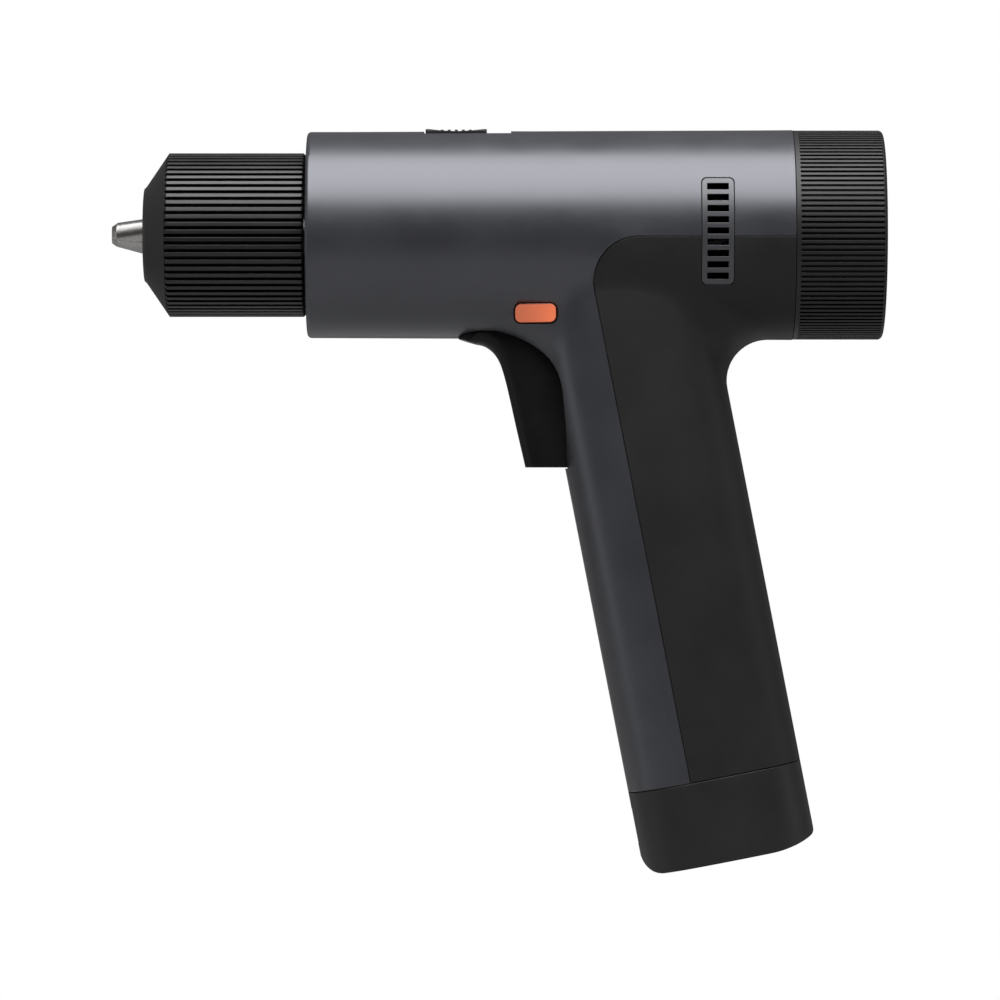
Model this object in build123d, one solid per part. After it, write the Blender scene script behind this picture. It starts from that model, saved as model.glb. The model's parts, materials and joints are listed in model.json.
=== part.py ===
from build123d import *
from math import atan, cos, hypot, pi, radians, sin, sqrt, tan
import os

# Frame: +X forward out of the chuck, +Z up, origin on the spindle axis at the chuck's nose face.
# All sizes are millimetres. Stations along the barrel are X values, front first.

# Chuck
NOSE_R = 10.9
CONE_START_R = 11.45
CONE_LENGTH = 5.9
SLEEVE_R = 19.3
SLEEVE_LENGTH = 37.9
SLEEVE_RIBS = 68
RIB_DEPTH = 0.8
NOSE_BORE_R = 8.5
BODY_R = 14.64
SLEEVE_BORE_R = 14.7
JAW_R = 3.1
JAW_TILT = 15.0
JAW_AXIS_R = 1.3
JAW_TIP_X = 7.7
JAW_TIP_R = 2.5
JAW_REAR_X = -20.0
BIT_BORE_R = 5.0
BIT_BORE_DEPTH = 21.0
NUT_FRONT = -11.2
NUT_REAR = -17.5
NUT_R = 13.2
THREAD_R = 4.75

# Barrel
BARREL_FRONT = -38.4
BARREL_REAR = -152.6
BARREL_FRONT_R = 24.3
BARREL_REAR_R = 24.75
BARREL_EDGE = 1.0
WALL = 1.7
PANEL_THICKNESS = 0.9
SEAM_GAP = 0.2
FRONT_WALL = 1.7
FRONT_OPENING_R = 11.8

# Handle. Points in it are given as (s, n): s down its axis, n forward across it.
TILT = 11.05
HANDLE_X = -109.4
HALF_DEPTH = 20.6
HALF_WIDTH = 21.8
FRONT_ARC = 60.0
REAR_ARC = 60.0
SIDE_ARC = 70.0
FRONT_CORNER = 12.5
REAR_CORNER = 12.0
FRONT_BLEND_R = 17.0
REAR_BLEND_R = 9.65
HANDLE_TOP = 4.0
HANDLE_END = 129.5
CAP_END = 149.2
FOOT_CURVE_N = -9.0
FOOT_RISE_S = 146.8

# Panel, grille, slider and button
PANEL_TOP_Z = -1.17
PANEL_LINE_N = 6.3
PANEL_CORNER = 10.5
GRILLE_FRONT = -130.6
GRILLE_REAR = -138.3
GRILLE_HALF_HEIGHT = 12.5
GRILLE_SLOTS = 9
GRILLE_PITCH = 2.6
GRILLE_SLOT_HEIGHT = 1.5
GRILLE_SLOT_LENGTH = 5.0
SLIDER_FRONT = -66.3
SLIDER_REAR = -80.7
SLIDER_TRAVEL = 5.2
SLIDER_HALF_WIDTH = 5.7
SLIDER_FLOOR_Z = 23.1
SLIDER_TOP_Z = 25.0
BUTTON_X = -92.1
BUTTON_Z = -18.9
BUTTON_LENGTH = 9.6
BUTTON_HEIGHT = 4.25
BUTTON_PROUD = 0.7
BUTTON_CORNER = 1.4
BUTTON_GAP = 0.3

# Trigger. The outlines are (X, Z) points seen from the side.
TRIGGER_HALF_WIDTH = 8.8
TRIGGER_BOTTOM_Z = -54.8
TRIGGER_REAR = -103.0
TRIGGER_TIP_X = -74.0
TRIGGER_TIP_R = 6.0
TRIGGER_EDGE_R = 3.5
TRIGGER_GAP = 0.15
TRIGGER_SIDE_GAP = 0.2
TRIGGER_FRONT = (
    (-78.4, -25.8), (-81.4, -27.0), (-83.4, -29.4), (-84.4, -31.9), (-85.7, -36.8), (-87.6, -45.3),
    (-89.2, -52.2), (-89.8, TRIGGER_BOTTOM_Z),
)
TRIGGER_RELIEF = (
    (-99.4, TRIGGER_BOTTOM_Z - 0.3), (-99.3, -46.7), (-98.8, -40.8), (-97.6, -33.5), (-95.2, -29.3),
    (-90.6, -25.7), (-85.9, -23.6), (-78.6, -22.7),
)

# Rear ring
RING_REAR = -173.9
RING_R = 24.65
RING_BORE_R = 20.6
RING_RIBS = 120
RING_RIB_DEPTH = 0.5
SPIGOT_R = 20.55
SPIGOT_BORE_R = 18.5
CAP_FLANGE_FRONT = -168.2

# Planetary gears: three stages with the same tooth numbers
MODULE = 0.8
SUN_TEETH = 15
PLANET_TEETH = 12
RING_TEETH = 39
PRESSURE_ANGLE = 25.0
ADDENDUM = 0.9 * MODULE
DEDENDUM = 1.15 * MODULE
BACKLASH = 0.1
CARRIER_R = MODULE * (SUN_TEETH + PLANET_TEETH) / 2
PIN_R = 1.6
PIN_BORE_R = 1.65
PLATE_R = 13.6
RING_GEAR_R = 19.15
CASE_BORE_R = 19.2
CASE_R = 21.2
CASE_FRONT = -40.2
CASE_REAR = -84.0
BACK_PLATE_REAR = -86.4
STAGE_3 = (-52.6, -59.0)
STAGE_2 = (-64.1, -70.0)
STAGE_1 = (-78.6, -83.2)
PLATE_2 = (-61.0, -63.5)
PLATE_1 = (-75.9, -78.1)
RING_2_REAR = -70.3
YOKE = (-67.1, -68.5)
CASE_SCREW_CIRCLE_R = 20.2
DOG_COUNT = 6
DOG_FRONT = -60.2
DOG_REAR = -63.2
DOG_R = 16.8

# Bearings and motor
FRONT_BEARING = (-42.2, -48.0)
BEARING_R = 11.0
SPINDLE_R = 5.0
BALL_R = 1.15
BALL_CIRCLE_R = 8.0
BALLS = 9
SHAFT_R = 2.5
MOTOR_BEARING_R = 8.0
MOTOR_BEARING_LENGTH = 5.0
FRONT_MOTOR_BEARING_X = -86.6
REAR_MOTOR_BEARING_X = -141.0
STATOR = (-101.0, -123.0)
STATOR_R = 19.5
STATOR_BORE_R = 11.4
STATOR_TEETH = 12
WINDING_OVERHANG = 3.5
ROTOR_R = 10.9
FAN = (-130.0, -138.5)
FAN_R = 17.5
FAN_BLADES = 11

# Battery
CELL_R = 9.15
CELL_LENGTH = 65.0
CELL_TOP = 68.4
CELLS = ((-7.4, 9.2), (-7.4, -9.2), (8.5, 0.0))
CASE_INSET = 1.85
CASE_WALL = 0.85
BATTERY_TOP = 66.5
TERMINAL_YS = (-7.0, 0.0, 7.0)

# Housing screws, as (X, Z)
SCREW_HEAD_R = 2.6
SCREW_R = 1.25
BOSS_R = 3.2
SCREW_SEAT_Y = -14.0
SCREW_END_Y = 9.0


def at_handle(s, n):
    """X and Z of a point in the handle."""
    a = radians(TILT)
    return (HANDLE_X - s * sin(a) + n * cos(a), -s * cos(a) - n * sin(a))


SCREWS = (
    (-148.4, 14.0),
    (-148.4, -14.0),
    (-93.8, 17.0),
    (-114.5, -25.2),
    at_handle(60.5, 14.0),
    at_handle(62.0, -15.2),
)


# ---- helpers ----

def lathe(points):
    """Solid of revolution about X from (x, r) points."""
    return revolve(make_face(Polyline([(x, 0, r) for x, r in points], close=True)), Axis.X, 360)


def disc(radius, front, rear):
    return Location((rear, 0, 0), (0, 90, 0)) * Cylinder(
        radius, front - rear, align=(Align.CENTER, Align.CENTER, Align.MIN))


def tube(outer, inner, front, rear):
    return disc(outer, front, rear) - disc(inner, front + 1, rear - 1)


def block(x, y, z):
    """Box from (low, high) pairs."""
    return Pos((x[0] + x[1]) / 2, (y[0] + y[1]) / 2, (z[0] + z[1]) / 2) * Box(
        abs(x[1] - x[0]), abs(y[1] - y[0]), abs(z[1] - z[0]))


def handle_plane(s):
    a = radians(TILT)
    x, z = at_handle(s, 0)
    return Plane(origin=(x, 0, z), x_dir=(cos(a), 0, -sin(a)), z_dir=(-sin(a), 0, -cos(a)))


def handle_block(s, n, y):
    """Box in the handle's directions from (low, high) pairs."""
    box = Pos((n[0] + n[1]) / 2, (y[0] + y[1]) / 2, (s[1] - s[0]) / 2) * Box(
        n[1] - n[0], y[1] - y[0], s[1] - s[0])
    return handle_plane(s[0]) * box


def handle_rod(s, n, y, radius):
    rod = Pos(n, y, 0) * Cylinder(radius, s[1] - s[0], align=(Align.CENTER, Align.CENTER, Align.MIN))
    return handle_plane(s[0]) * rod


def handle_section(inset):
    """The handle's cross-section, shrunk by an inset."""
    depth = HALF_DEPTH - inset
    width = HALF_WIDTH - inset
    side, front, rear = SIDE_ARC - inset, FRONT_ARC - inset, REAR_ARC - inset
    shape = (Pos(0, width - side) * Circle(side)) & (Pos(0, side - width) * Circle(side))
    shape = shape & (Pos(depth - front, 0) * Circle(front)) & (Pos(rear - depth, 0) * Circle(rear))
    shape = fillet(shape.vertices().sort_by(Axis.X)[:2], REAR_CORNER - inset)
    return fillet(shape.vertices().sort_by(Axis.X)[-2:], FRONT_CORNER - inset)


def handle_prism(s0, s1, inset):
    return extrude(handle_plane(s0) * handle_section(inset), s1 - s0)


def barrel_solid(inset, front=BARREL_FRONT, rear=BARREL_REAR):
    return lathe([(front, 0), (front, BARREL_FRONT_R - inset), (rear, BARREL_REAR_R - inset), (rear, 0)])


def barrel_radius(x):
    slope = (BARREL_REAR_R - BARREL_FRONT_R) / (BARREL_REAR - BARREL_FRONT)
    return BARREL_FRONT_R + slope * (x - BARREL_FRONT)


def on_blend_line(point, inset):
    """Whether a point lies where the handle meets the barrel's underside."""
    off_barrel = abs(hypot(point.Y, point.Z) - barrel_radius(point.X) + inset)
    return off_barrel < 0.02 and BARREL_REAR + 1 < point.X < BARREL_FRONT - 1 and point.Z < -5


def blended_body(inset, radius):
    """Barrel and handle joined by a concave blend, shrunk by an inset."""
    body = barrel_solid(inset) + handle_prism(HANDLE_TOP, HANDLE_END, inset)
    line = [
        edge for edge in body.edges()
        if all(on_blend_line(edge.position_at(t), inset) for t in (0.1, 0.5, 0.9))
    ]
    return fillet(line, radius + inset)


def outer_body(inset):
    """Barrel and handle, blended more widely ahead of the panel's front line than behind it."""
    ahead = handle_block((-60, HANDLE_END + 10), (PANEL_LINE_N, 120), (-40, 40))
    return (blended_body(inset, FRONT_BLEND_R) & ahead) + (blended_body(inset, REAR_BLEND_R) - ahead)


def side_prism(points, y0, y1, radius=0.0):
    """Prism along Y from (x, z) points, with all its corners rounded."""
    face = make_face(Polyline([(x, 0, z) for x, z in points], close=True))
    if radius:
        face = fillet(face.vertices(), radius)
    solid = extrude(face, amount=y1 - y0, dir=(0, 1, 0))
    return Pos(0, y0, 0) * solid


def around_x(shape, count, start=0.0):
    return [Rot(start + 360 * i / count, 0, 0) * shape for i in range(count)]


def cut_all(base, shapes):
    """Base with every shape cut away."""
    for shape in shapes:
        base = base - shape
    return base


def union(shapes):
    total = shapes[0]
    for shape in shapes[1:]:
        total = total + shape
    return total


def ribbed_prism(outer, depth, ribs, front, rear):
    """Round bar along X whose skin is cut into equal ribs and grooves."""
    wires = []
    half = pi / ribs / 2
    for i in range(ribs):
        centre = 2 * pi * i / ribs
        a, b, c = centre - half, centre + half, centre + 3 * half
        p = [(0, r * sin(t), r * cos(t)) for r, t in (
            (outer, a), (outer, centre), (outer, b),
            (outer - depth, b), (outer - depth, centre + 2 * half), (outer - depth, c), (outer, c))]
        wires += [
            ThreePointArc(p[0], p[1], p[2]), Line(p[2], p[3]),
            ThreePointArc(p[3], p[4], p[5]), Line(p[5], p[6]),
        ]
    face = make_face(wires)
    return Pos(rear, 0, 0) * extrude(face, amount=front - rear, dir=(1, 0, 0))


# ---- gears ----

def involute_angle(base, radius):
    t = sqrt(max((radius / base) ** 2 - 1, 0))
    return t - atan(t)


def tooth_half_angle(teeth, radius, thicken):
    """Half the angle a tooth spans at a radius."""
    pitch = MODULE * teeth / 2
    base = pitch * cos(radians(PRESSURE_ANGLE))
    at_pitch = (pi * MODULE / 2 + thicken) / 2 / pitch
    return at_pitch + involute_angle(base, pitch) - involute_angle(base, max(radius, base))


def gear_bar(teeth, tip, root, thicken, phase, front, rear):
    """Toothed bar along X. Phase is the angle of one tooth's centre, from +Y towards +Z."""
    pitch = MODULE * teeth / 2
    base = pitch * cos(radians(PRESSURE_ANGLE))
    low = max(root, base)
    mid = (low + tip) / 2

    def point(radius, angle):
        return (0, radius * cos(angle), radius * sin(angle))

    half = [tooth_half_angle(teeth, r, thicken) for r in (low, mid, tip)]
    wires = []
    for i in range(teeth):
        c = phase + 2 * pi * i / teeth
        gap = c + pi / teeth
        after = c + 2 * pi / teeth
        if root < low:
            wires.append(Line(point(root, c - half[0]), point(low, c - half[0])))
            wires.append(Line(point(low, c + half[0]), point(root, c + half[0])))
        wires.append(ThreePointArc(point(low, c - half[0]), point(mid, c - half[1]), point(tip, c - half[2])))
        wires.append(ThreePointArc(point(tip, c - half[2]), point(tip, c), point(tip, c + half[2])))
        wires.append(ThreePointArc(point(tip, c + half[2]), point(mid, c + half[1]), point(low, c + half[0])))
        wires.append(ThreePointArc(
            point(root, c + half[0]), point(root, gap), point(root, after - half[0])))
    return Pos(rear, 0, 0) * extrude(make_face(wires), amount=front - rear, dir=(1, 0, 0))


def outer_gear(teeth, phase, front, rear):
    pitch = MODULE * teeth / 2
    return gear_bar(teeth, pitch + ADDENDUM, pitch - DEDENDUM, -BACKLASH, phase, front, rear)


def ring_cutter(phase, front, rear):
    pitch = MODULE * RING_TEETH / 2
    return gear_bar(RING_TEETH, pitch + DEDENDUM, pitch - ADDENDUM, BACKLASH, phase, front, rear)


def planet_phase(position):
    """Tooth phase of a planet at an angle, meshing with a sun that has a tooth at angle 0."""
    sun = position * SUN_TEETH / (2 * pi) % 1
    return position + pi - (0.5 - sun) * 2 * pi / PLANET_TEETH


def ring_phase():
    planet = (0 - planet_phase(0)) * PLANET_TEETH / (2 * pi) % 1
    return -planet * 2 * pi / RING_TEETH


PLANET_ANGLES = [2 * pi * i / 3 for i in range(3)]


def planet_gear(position, stage):
    front, rear = stage
    gear = outer_gear(PLANET_TEETH, planet_phase(position), front, rear)
    gear = gear - disc(PIN_BORE_R, front + 1, rear - 1)
    return Pos(0, CARRIER_R * cos(position), CARRIER_R * sin(position)) * gear


def pins(front, rear):
    return [Pos(0, CARRIER_R * cos(a), CARRIER_R * sin(a)) * disc(PIN_R, front, rear) for a in PLANET_ANGLES]


def sun_carrier(sun_front, plate_front, plate_rear, pin_rear):
    """Carrier with the next stage's sun gear on its front."""
    parts = [disc(PLATE_R, plate_front, plate_rear), outer_gear(SUN_TEETH, 0, sun_front, plate_front)]
    return union(parts + pins(plate_rear, pin_rear))


def ring_gear(front, rear):
    return disc(RING_GEAR_R, front, rear) - ring_cutter(ring_phase(), front + 1, rear - 1)


def dogs(clearance):
    """Castellations between ring gears 2 and 3."""
    half = 90 / DOG_COUNT - clearance
    wedge = make_face(Polyline(
        (0, 0, 0), (0, 30 * sin(radians(-half)), 30 * cos(radians(half))),
        (0, 0, 40), (0, 30 * sin(radians(half)), 30 * cos(radians(half))), close=True))
    bar = Pos(DOG_REAR - 1, 0, 0) * extrude(wedge, amount=DOG_FRONT + 1.2 - DOG_REAR, dir=(1, 0, 0))
    return union(around_x(bar, DOG_COUNT))


# ---- chuck ----

def jaw_axis(angle):
    """Frame on a jaw's slanted axis: local Z runs forward along it."""
    tilt = Location((0, 0, JAW_AXIS_R), (0, 90 + JAW_TILT, 0))
    return Location((0, 0, 0), (angle, 0, 0)) * tilt


JAW_ANGLES = (60, 180, 300)


def jaw_rod(angle, radius, front, rear):
    length = (front - rear) / cos(radians(JAW_TILT))
    rod = Pos(0, 0, rear / cos(radians(JAW_TILT))) * Cylinder(
        radius, length, align=(Align.CENTER, Align.CENTER, Align.MIN))
    return jaw_axis(angle) * rod


def chuck_sleeve():
    skin = lathe([
        (0, NOSE_BORE_R), (0, NOSE_R), (-0.55, CONE_START_R), (-CONE_LENGTH, SLEEVE_R),
        (-SLEEVE_LENGTH + 0.4, SLEEVE_R), (-SLEEVE_LENGTH, SLEEVE_R - 0.4), (-SLEEVE_LENGTH, SLEEVE_BORE_R),
        (NUT_REAR - 0.3, SLEEVE_BORE_R), (NUT_REAR - 0.3, NUT_R), (NUT_FRONT + 0.3, NUT_R),
        (NUT_FRONT + 0.3, 12.7), (-3.6, 12.7), (-3.6, NOSE_BORE_R),
    ])
    return skin & ribbed_prism(SLEEVE_R + 0.01, RIB_DEPTH, SLEEVE_RIBS, 0, -SLEEVE_LENGTH)


def chuck_body():
    body = lathe([
        (-0.8, 0), (-0.8, 7.9), (-1.3, NOSE_BORE_R - 0.06), (-3.9, NOSE_BORE_R - 0.06), (-3.9, 10.4),
        (-5.9, 12.4), (NUT_FRONT + 0.35, 12.4), (NUT_FRONT + 0.35, 6.6), (NUT_REAR - 0.35, 6.6),
        (NUT_REAR - 0.35, BODY_R), (-36.5, BODY_R), (-37.0, BODY_R - 0.5), (-37.0, 0),
    ])
    cuts = [disc(BIT_BORE_R, 1, -BIT_BORE_DEPTH), disc(3.5, 0, -24.0), disc(2.55, 0, -26.2)]
    cuts += [disc(THREAD_R, -26.0, -40)]
    cuts += [jaw_rod(a, JAW_R + 0.05, 5, -36) for a in JAW_ANGLES]
    return cut_all(body, cuts)


def jaw(angle):
    rod = jaw_rod(angle, JAW_R, JAW_TIP_X + 3, JAW_REAR_X)
    far = 30.0
    half = radians(60)
    sector = make_face(Polyline(
        (0, 0, 0.05), (0, far * sin(half), far * cos(half)), (0, 0, 2 * far),
        (0, -far * sin(half), far * cos(half)), close=True))
    wedge = Pos(-30, 0, 0) * extrude(sector, amount=45, dir=(1, 0, 0))
    tip = lathe([(JAW_TIP_X, 0), (JAW_TIP_X, JAW_TIP_R - 0.5), (JAW_TIP_X - 1.0, JAW_TIP_R + 0.15),
                 (JAW_TIP_X - 12, 14), (-30, 14), (-30, 0)])
    return rod & (Rot(angle, 0, 0) * wedge) & tip


def chuck_nut():
    slope = tan(radians(JAW_TILT))
    bore = [JAW_AXIS_R - x * slope + JAW_R / cos(radians(JAW_TILT)) + 0.1 for x in (NUT_FRONT, NUT_REAR)]
    return lathe([(NUT_FRONT, bore[0]), (NUT_FRONT, NUT_R), (NUT_REAR, NUT_R), (NUT_REAR, bore[1])])


def chuck_screw():
    return union([disc(3.2, -21.8, -24.0), disc(2.4, -24.0, -38.0)])


# ---- gearbox ----

def spindle():
    shaft = union([
        disc(THREAD_R - 0.02, -26.4, -38.2),
        disc(SPINDLE_R + 1.0, -38.2, FRONT_BEARING[0] + 0.3),
        disc(SPINDLE_R - 0.01, FRONT_BEARING[0] + 0.4, FRONT_BEARING[1] - 0.6),
        disc(6.4, FRONT_BEARING[1] - 0.1, -49.4),
        disc(PLATE_R, -49.0, -52.0),
    ] + pins(-52.0, STAGE_3[1] - 0.3))
    return shaft - disc(2.5, -20, -39)


def front_bearing_outer():
    ring = tube(BEARING_R - 0.01, BALL_CIRCLE_R + 0.85, *FRONT_BEARING)
    return ring - ball_groove()


def front_bearing_inner():
    ring = tube(BALL_CIRCLE_R - 0.85, SPINDLE_R, *FRONT_BEARING)
    return ring - ball_groove()


def ball_groove():
    mid = sum(FRONT_BEARING) / 2
    circle = Plane(origin=(mid, 0, BALL_CIRCLE_R), x_dir=(1, 0, 0), z_dir=(0, 1, 0)) * Circle(BALL_R + 0.05)
    return revolve(circle, Axis.X, 360)


def front_bearing_balls():
    mid = sum(FRONT_BEARING) / 2
    ball = Pos(mid, 0, BALL_CIRCLE_R) * Sphere(BALL_R)
    return around_x(ball, BALLS)


def gearbox_case():
    case = disc(CASE_R, CASE_FRONT, CASE_REAR)
    cuts = [
        disc(CASE_BORE_R, -51.6, CASE_REAR - 1),
        disc(PLATE_R + 1.0, -48.2, -52),
        disc(BEARING_R, FRONT_BEARING[0] + 0.05, -49),
        disc(9.2, 0, -43),
        block((YOKE[0] + 0.5, YOKE[1] - SLIDER_TRAVEL - 0.5), (-3.4, 3.4), (15, 30)),
    ]
    cuts += around_x(Pos(0, 0, CASE_SCREW_CIRCLE_R) * disc(0.8, CASE_REAR + 5, CASE_REAR - 1), 4, 45)
    return cut_all(case, cuts)


def ring_gear_3():
    ring = ring_gear(-52.0, DOG_REAR)
    return ring - (dogs(-0.35) & disc(40, DOG_FRONT + 0.2, DOG_REAR - 1)) - disc(DOG_R, -60.0, DOG_REAR - 1)


def ring_gear_2():
    ring = ring_gear(DOG_REAR - 0.1, RING_2_REAR)
    teeth = dogs(0.35) & tube(RING_GEAR_R, DOG_R + 0.1, DOG_FRONT, DOG_REAR - 0.2)
    groove = tube(RING_GEAR_R + 1, 17.6, YOKE[0] + 0.05, YOKE[1] - 0.05)
    return ring + teeth - groove


def ring_gear_1():
    return ring_gear(STAGE_1[0] + 0.2, CASE_REAR + 0.1)


def shift_yoke():
    arc = tube(RING_GEAR_R - 0.05, 17.65, *YOKE)
    keep = make_face(Polyline((0, 0, 0), (0, -40, 23), (0, -40, 60), (0, 40, 60), (0, 40, 23), close=True))
    arc = arc & (Pos(-75, 0, 0) * extrude(keep, amount=10, dir=(1, 0, 0)))
    return arc + block(YOKE, (-2.0, 2.0), (18.6, 22.6))


def speed_slider():
    top = block((SLIDER_REAR, SLIDER_FRONT), (-SLIDER_HALF_WIDTH, SLIDER_HALF_WIDTH),
                (SLIDER_FLOOR_Z + 0.1, SLIDER_TOP_Z))
    top = top & disc(SLIDER_TOP_Z, SLIDER_FRONT + 1, SLIDER_REAR - 1)
    mid = (SLIDER_FRONT + SLIDER_REAR) / 2
    dish_r = 32.0
    dish_depth = 0.75
    dish = Pos(mid, 0, SLIDER_TOP_Z - dish_depth + dish_r) * (Rot(90, 0, 0) * Cylinder(dish_r, 40))
    top = top - dish
    ridges = [
        Pos(mid + 1.65 * i, 0, SLIDER_TOP_Z - dish_depth - 0.15) * Box(0.7, 2 * SLIDER_HALF_WIDTH - 2.4, 1.1)
        for i in (-2, -1, 0, 1, 2)
    ]
    stem = block((YOKE[1] - 1.8, YOKE[0] + 0.5), (-2.9, 2.9), (21.7, SLIDER_FLOOR_Z + 0.2))
    return union([top] + ridges + [stem]) - block(YOKE, (-2.0, 2.0), (18, 22.6))


def gearbox_back_plate():
    boss_rear = FRONT_MOTOR_BEARING_X - MOTOR_BEARING_LENGTH - 0.1
    plate = disc(CASE_R, CASE_REAR, BACK_PLATE_REAR)
    plate = plate + disc(MOTOR_BEARING_R + 1.6, BACK_PLATE_REAR, boss_rear)
    cuts = [
        disc(7.2, CASE_REAR + 1, FRONT_MOTOR_BEARING_X - 0.3),
        disc(MOTOR_BEARING_R, FRONT_MOTOR_BEARING_X + 0.05, boss_rear - 1),
    ]
    cuts += around_x(Pos(0, 0, CASE_SCREW_CIRCLE_R) * disc(0.85, CASE_REAR + 1, BACK_PLATE_REAR - 1), 4, 45)
    return cut_all(plate, cuts)


def gearbox_screws():
    shank = disc(0.8, CASE_REAR + 4, BACK_PLATE_REAR - 0.5)
    screw = Pos(0, 0, CASE_SCREW_CIRCLE_R) * (disc(1.3, BACK_PLATE_REAR, BACK_PLATE_REAR - 1.2) + shank)
    return around_x(screw, 4, 45)


# ---- motor ----

def motor_pinion():
    return outer_gear(SUN_TEETH, 0, STAGE_1[0], BACK_PLATE_REAR + 0.4) - disc(SHAFT_R, -70, -91)


def rotor_shaft():
    return disc(SHAFT_R - 0.01, PLATE_1[1] - 0.3, -146.4)


def rotor_core():
    core = tube(ROTOR_R, SHAFT_R, STATOR[0] + 0.5, STATOR[1] - 0.5)
    magnet = Pos(0, 0, ROTOR_R - 1.9) * block((STATOR[1], STATOR[0]), (-3.0, 3.0), (-0.9, 0.9))
    return cut_all(core, around_x(magnet, 8))


def stator_core():
    core = tube(STATOR_R, STATOR_BORE_R, *STATOR)
    ring = tube(STATOR_R - 2.6, STATOR_BORE_R + 1.3, STATOR[0] + 1, STATOR[1] - 1)
    tooth = block((STATOR[1], STATOR[0]), (-1.4, 1.4), (STATOR_BORE_R, STATOR_R - 2.0))
    gap = block((STATOR[1] - 1, STATOR[0] + 1), (-0.9, 0.9), (10, STATOR_BORE_R + 1.6))
    core = cut_all(core - ring, around_x(gap, STATOR_TEETH, 15))
    return union([core] + around_x(tooth, STATOR_TEETH))


def stator_windings():
    low = STATOR_BORE_R + 1.5
    high = STATOR_R - 2.7
    coil = block((STATOR[1] - WINDING_OVERHANG, STATOR[0] + WINDING_OVERHANG), (-2.9, 2.9), (low, high))
    hole = block((STATOR[1] - 0.1, STATOR[0] + 0.1), (-1.5, 1.5), (low - 1, high + 1))
    keep = lathe([(-90, low), (-90, high), (-135, high), (-135, low)])
    wedge_half = 360 / STATOR_TEETH / 2 - 0.6
    wedge = make_face(Polyline(
        (0, 0, 0), (0, 30 * tan(radians(wedge_half)), 30), (0, -30 * tan(radians(wedge_half)), 30),
        close=True))
    keep = keep & (Pos(-135, 0, 0) * extrude(wedge, amount=45, dir=(1, 0, 0)))
    return around_x((coil & keep) - hole, STATOR_TEETH)


def fan():
    """Centrifugal fan: a hub and a disc carrying slanted blades."""
    hub = disc(5.5, *FAN) + disc(FAN_R, FAN[0], FAN[0] - 1.2)
    blade = block((FAN[1], FAN[0] - 0.5), (-0.6, 0.6), (5.0, FAN_R - 0.2))
    blade = Pos(FAN[0] - 4, 0, 0) * Rot(0, 0, 18) * Pos(4 - FAN[0], 0, 0) * blade
    whole = union([hub] + around_x(blade, FAN_BLADES)) & disc(FAN_R, *FAN)
    return whole - disc(SHAFT_R, FAN[0] + 1, FAN[1] - 1)


def motor_bearing(front):
    ring = tube(MOTOR_BEARING_R - 0.01, SHAFT_R + 0.05, front, front - MOTOR_BEARING_LENGTH)
    rear = front - MOTOR_BEARING_LENGTH
    return cut_all(ring, [tube(6.6, 4.2, front + 1, front - 0.4), tube(6.6, 4.2, rear + 0.4, rear - 1)])


# ---- housing ----

def panel_region(gap):
    """Everything behind the panel's front line and below its top line, shrunk by a gap."""
    a = radians(TILT)
    line_n = PANEL_LINE_N - gap
    top = PANEL_TOP_Z - gap
    corner_x = at_handle(-(top + line_n * sin(a)) / cos(a), line_n)[0]
    low_x, low_z = at_handle(HANDLE_END + 10, line_n)
    rear = BARREL_REAR - 30
    face = make_face(Polyline(
        [(rear, 0, top), (corner_x, 0, top), (low_x, 0, low_z), (rear, 0, low_z)], close=True))
    face = fillet(face.vertices().sort_by_distance((corner_x, 0, top))[:1], PANEL_CORNER)
    return Pos(0, -60, 0) * extrude(face, amount=120, dir=(0, 1, 0))


def grille_region(gap):
    x0, x1 = GRILLE_REAR + gap, GRILLE_FRONT - gap
    h = GRILLE_HALF_HEIGHT - gap
    prism = side_prism([(x0, -h), (x1, -h), (x1, h), (x0, h)], -40, 40, 1.2)
    return prism - block((x0 - 1, x1 + 1), (-15, 15), (-30, 30))


def button_bar(grow, half_span):
    x0, x1 = BUTTON_X - BUTTON_LENGTH / 2 - grow, BUTTON_X + BUTTON_LENGTH / 2 + grow
    z0, z1 = BUTTON_Z - BUTTON_HEIGHT / 2 - grow, BUTTON_Z + BUTTON_HEIGHT / 2 + grow
    return side_prism([(x0, z0), (x1, z0), (x1, z1), (x0, z1)], -half_span, half_span, BUTTON_CORNER + grow)


def button_guides():
    """Bosses inside the housing that the direction button slides through."""
    z = (BUTTON_Z - BUTTON_HEIGHT / 2 - 1.0, BUTTON_Z + BUTTON_HEIGHT / 2 + 1.0)
    x = (BUTTON_X - BUTTON_LENGTH / 2 - 1.0, BACK_PLATE_REAR - 0.15)
    return [block(x, (9, 24), z), block(x, (-24, -9), z)]


def trigger_cheeks():
    """Plates inside the housing on both sides of the trigger."""
    x = (-106, -86)
    z = (TRIGGER_BOTTOM_Z - 2, -24)
    near, far = TRIGGER_HALF_WIDTH + TRIGGER_SIDE_GAP, TRIGGER_HALF_WIDTH + 3.0
    return [block(x, (near, far), z), block(x, (-far, -near), z)]


def screw_column(x, z, radius, y0, y1):
    return Pos(x, y0, z) * (Rot(-90, 0, 0) * Cylinder(
        radius, y1 - y0, align=(Align.CENTER, Align.CENTER, Align.MIN)))


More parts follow.
